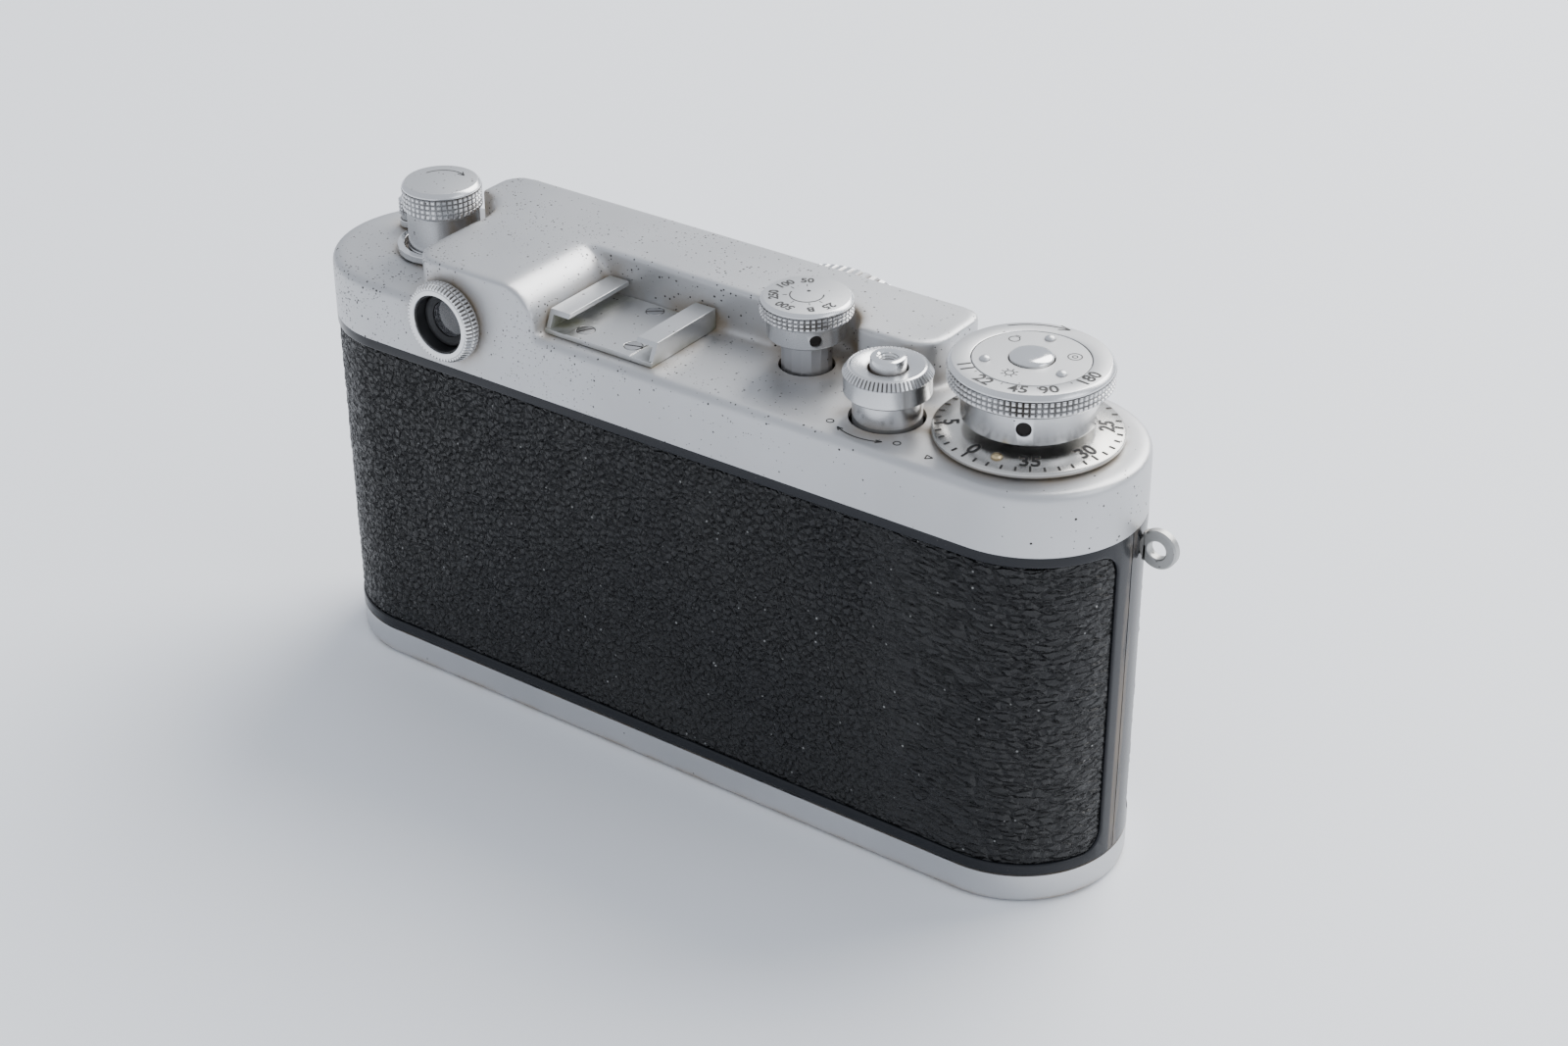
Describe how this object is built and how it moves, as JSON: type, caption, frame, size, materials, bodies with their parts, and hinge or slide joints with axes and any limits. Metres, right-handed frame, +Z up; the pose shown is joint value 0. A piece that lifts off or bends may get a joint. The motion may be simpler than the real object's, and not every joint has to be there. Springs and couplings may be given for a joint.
{
  "type": "rangefinder camera",
  "caption": "Film camera with rounded ends, raised rangefinder housing, knob film advance, accessory shoe and a focusing screw-mount lens.",
  "frame": {"origin": "centre of the flat base that the camera stands on, midway between its rounded ends and between the front and back faces of its body", "axes": "+Z up; +X towards the rewind knob; -Y the way the lens looks; +Y towards the viewer"},
  "size_m": [0.1506, 0.0713, 0.0791],
  "materials": {
    "satin_chrome": "satin chrome plate with fine dark pitting and brown grime in the corners",
    "bright_chrome": "polished chrome plate",
    "black_paint": "glossy black enamel, worn at the edges",
    "leatherette": "black pebbled hard rubber covering",
    "steel": "plain machined steel",
    "brass": "plain brass",
    "dark_lacquer": "matt black lacquer inside the body",
    "curtain_cloth": "rubberised black silk",
    "optical_glass": "clear coated glass"
  },
  "bodies": {
    "chassis": {"top_cover": "satin_chrome", "front_shell": "black_paint", "front_covering": "leatherette", "top_plate": "steel", "lower_plate": "steel", "film_gate": "dark_lacquer", "shutter_curtain": "curtain_cloth", "eyepiece_ring": "bright_chrome", "finder_window": "optical_glass", "finder_bezel": "bright_chrome", "range_window": "optical_glass", "range_bezel": "bright_chrome", "beam_splitter": "optical_glass", "range_prism": "optical_glass", "sync_socket": "bright_chrome", "accessory_shoe": "bright_chrome", "shoe_screw_1": "steel", "shoe_screw_2": "steel", "shoe_screw_3": "steel", "lens_mount": "bright_chrome", "lens_body": "satin_chrome", "strap_lug_rewind_side": "bright_chrome", "strap_lug_wind_side": "bright_chrome"},
    "wind_knob": {"wind_knob": "satin_chrome", "wind_grub_screw": "steel", "wind_knob_cap": "bright_chrome"},
    "film_reminder": {"film_reminder_disc": "satin_chrome"},
    "frame_counter": {"frame_counter_disc": "satin_chrome"},
    "take_up_spool": {"take_up_spool": "dark_lacquer"},
    "sprocket": {"sprocket_drum": "steel"},
    "shutter_drum": {"shutter_drum": "steel", "speed_spindle": "steel"},
    "curtain_roller": {"curtain_roller": "steel"},
    "speed_lift": {"speed_lift_bush": "brass"},
    "speed_dial": {"speed_dial": "satin_chrome", "speed_grub_screw": "steel"},
    "release_button": {"release_button": "bright_chrome"},
    "clutch_collar": {"clutch_collar": "satin_chrome"},
    "rewind_fork": {"rewind_fork": "steel"},
    "rewind_knob": {"rewind_knob": "satin_chrome"},
    "dioptre_lever": {"dioptre_lever": "bright_chrome", "dioptre_peg": "satin_chrome"},
    "eyepiece_lens": {"eyepiece_lens": "optical_glass"},
    "focus_ring": {"focus_ring": "satin_chrome"},
    "lens_barrel": {"lens_barrel": "satin_chrome", "front_glass": "optical_glass", "rear_glass": "optical_glass", "iris": "dark_lacquer"},
    "aperture_ring": {"aperture_ring": "satin_chrome"},
    "range_follower": {"range_follower": "brass"},
    "back": {"back_shell": "black_paint", "back_covering": "leatherette", "base_tray": "satin_chrome", "tripod_bush": "steel", "pressure_spring": "steel"},
    "pressure_plate": {"pressure_plate": "steel"},
    "lock_key_rewind_side": {"lock_key_rewind_side": "satin_chrome"},
    "lock_bail_rewind_side": {"lock_bail_rewind_side": "satin_chrome"},
    "lock_key_wind_side": {"lock_key_wind_side": "satin_chrome"},
    "lock_bail_wind_side": {"lock_bail_wind_side": "satin_chrome"}
  },
  "joints": [
    {"name": "wind_turn", "type": "hinge", "parent": "chassis", "child": "wind_knob", "pos_m": [-0.053, 0, 0.07], "axis": [0, 0, 1], "continuous": true},
    {"name": "reminder_turn", "type": "hinge", "parent": "wind_knob", "child": "film_reminder", "pos_m": [-0.053, 0, 0.078], "axis": [0, 0, 1], "continuous": true},
    {"name": "counter_turn", "type": "hinge", "parent": "chassis", "child": "frame_counter", "pos_m": [-0.053, 0, 0.068], "axis": [0, 0, 1], "continuous": true},
    {"name": "spool_turn", "type": "hinge", "parent": "chassis", "child": "take_up_spool", "pos_m": [-0.053, 0, 0.03], "axis": [0, 0, 1], "continuous": true},
    {"name": "sprocket_turn", "type": "hinge", "parent": "chassis", "child": "sprocket", "pos_m": [-0.0344, 0.0065, 0.03], "axis": [0, 0, 1], "continuous": true},
    {"name": "shutter_turn", "type": "hinge", "parent": "chassis", "child": "shutter_drum", "pos_m": [-0.0163, 0, 0.03], "axis": [0, 0, 1], "continuous": true},
    {"name": "roller_turn", "type": "hinge", "parent": "chassis", "child": "curtain_roller", "pos_m": [0.0334, 0, 0.03], "axis": [0, 0, 1], "continuous": true},
    {"name": "speed_lift", "type": "slide", "parent": "shutter_drum", "child": "speed_lift", "axis": [0, 0, 1], "range_m": [0, 0.002]},
    {"name": "speed_select", "type": "hinge", "parent": "speed_lift", "child": "speed_dial", "pos_m": [-0.0163, 0, 0.075], "axis": [0, 0, 1], "range_deg": [-150, 150]},
    {"name": "release_press", "type": "slide", "parent": "chassis", "child": "release_button", "axis": [0, 0, -1], "range_m": [0, 0.0014], "stiffness_N_per_m": 300},
    {"name": "clutch_turn", "type": "hinge", "parent": "chassis", "child": "clutch_collar", "pos_m": [-0.0344, 0.0065, 0.07], "axis": [0, 0, 1], "range_deg": [0, 60]},
    {"name": "rewind_turn", "type": "hinge", "parent": "chassis", "child": "rewind_fork", "pos_m": [0.052, 0, 0.06], "axis": [0, 0, 1], "continuous": true},
    {"name": "rewind_lift", "type": "slide", "parent": "rewind_fork", "child": "rewind_knob", "axis": [0, 0, 1], "range_m": [0, 0.004]},
    {"name": "dioptre_turn", "type": "hinge", "parent": "chassis", "child": "dioptre_lever", "pos_m": [0.052, 0, 0.0675], "axis": [0, 0, 1], "range_deg": [-20, 45]},
    {"name": "eyepiece_shift", "type": "slide", "parent": "chassis", "child": "eyepiece_lens", "axis": [0, 1, 0], "range_m": [-0.0006, 0.0013]},
    {"name": "focus_turn", "type": "hinge", "parent": "chassis", "child": "focus_ring", "pos_m": [0.006, -0.03, 0.034], "axis": [0, -1, 0], "range_deg": [0, 150]},
    {"name": "barrel_slide", "type": "slide", "parent": "chassis", "child": "lens_barrel", "axis": [0, -1, 0], "range_m": [0, 0.003]},
    {"name": "aperture_turn", "type": "hinge", "parent": "lens_barrel", "child": "aperture_ring", "pos_m": [0.006, -0.05, 0.034], "axis": [0, -1, 0], "range_deg": [0, 90]},
    {"name": "follower_swing", "type": "hinge", "parent": "chassis", "child": "range_follower", "pos_m": [0.006, -0.01, 0.061], "axis": [1, 0, 0], "range_deg": [-13, 0]},
    {"name": "back_off", "type": "slide", "parent": "chassis", "child": "back", "axis": [0, 0, -1], "range_m": [0, 0.06]},
    {"name": "plate_press", "type": "slide", "parent": "back", "child": "pressure_plate", "axis": [0, 1, 0], "range_m": [0, 0.0008], "stiffness_N_per_m": 800},
    {"name": "key_turn_rewind_side", "type": "hinge", "parent": "back", "child": "lock_key_rewind_side", "pos_m": [0.052, 0, 0.002], "axis": [0, 0, 1], "range_deg": [0, 180]},
    {"name": "bail_fold_rewind_side", "type": "hinge", "parent": "lock_key_rewind_side", "child": "lock_bail_rewind_side", "pos_m": [0.052, 0, 0.0005], "axis": [-1, 0, 0], "range_deg": [0, 90]},
    {"name": "key_turn_wind_side", "type": "hinge", "parent": "back", "child": "lock_key_wind_side", "pos_m": [-0.052, 0, 0.002], "axis": [0, 0, 1], "range_deg": [-180, 0]},
    {"name": "bail_fold_wind_side", "type": "hinge", "parent": "lock_key_wind_side", "child": "lock_bail_wind_side", "pos_m": [-0.052, 0, 0.0005], "axis": [-1, 0, 0], "range_deg": [0, 90]}
  ],
  "couplings": [
    {"joint": "spool_turn", "follows": "wind_turn", "ratio": 1},
    {"joint": "counter_turn", "follows": "wind_turn", "ratio": 0.03},
    {"joint": "sprocket_turn", "follows": "wind_turn", "ratio": 1.2},
    {"joint": "shutter_turn", "follows": "wind_turn", "ratio": 1},
    {"joint": "roller_turn", "follows": "wind_turn", "ratio": 1.6},
    {"joint": "eyepiece_shift", "follows": "dioptre_turn", "m_per_rad": 0.0015},
    {"joint": "barrel_slide", "follows": "focus_turn", "m_per_rad": 0.0011},
    {"joint": "follower_swing", "follows": "focus_turn", "ratio": -0.075}
  ]
}
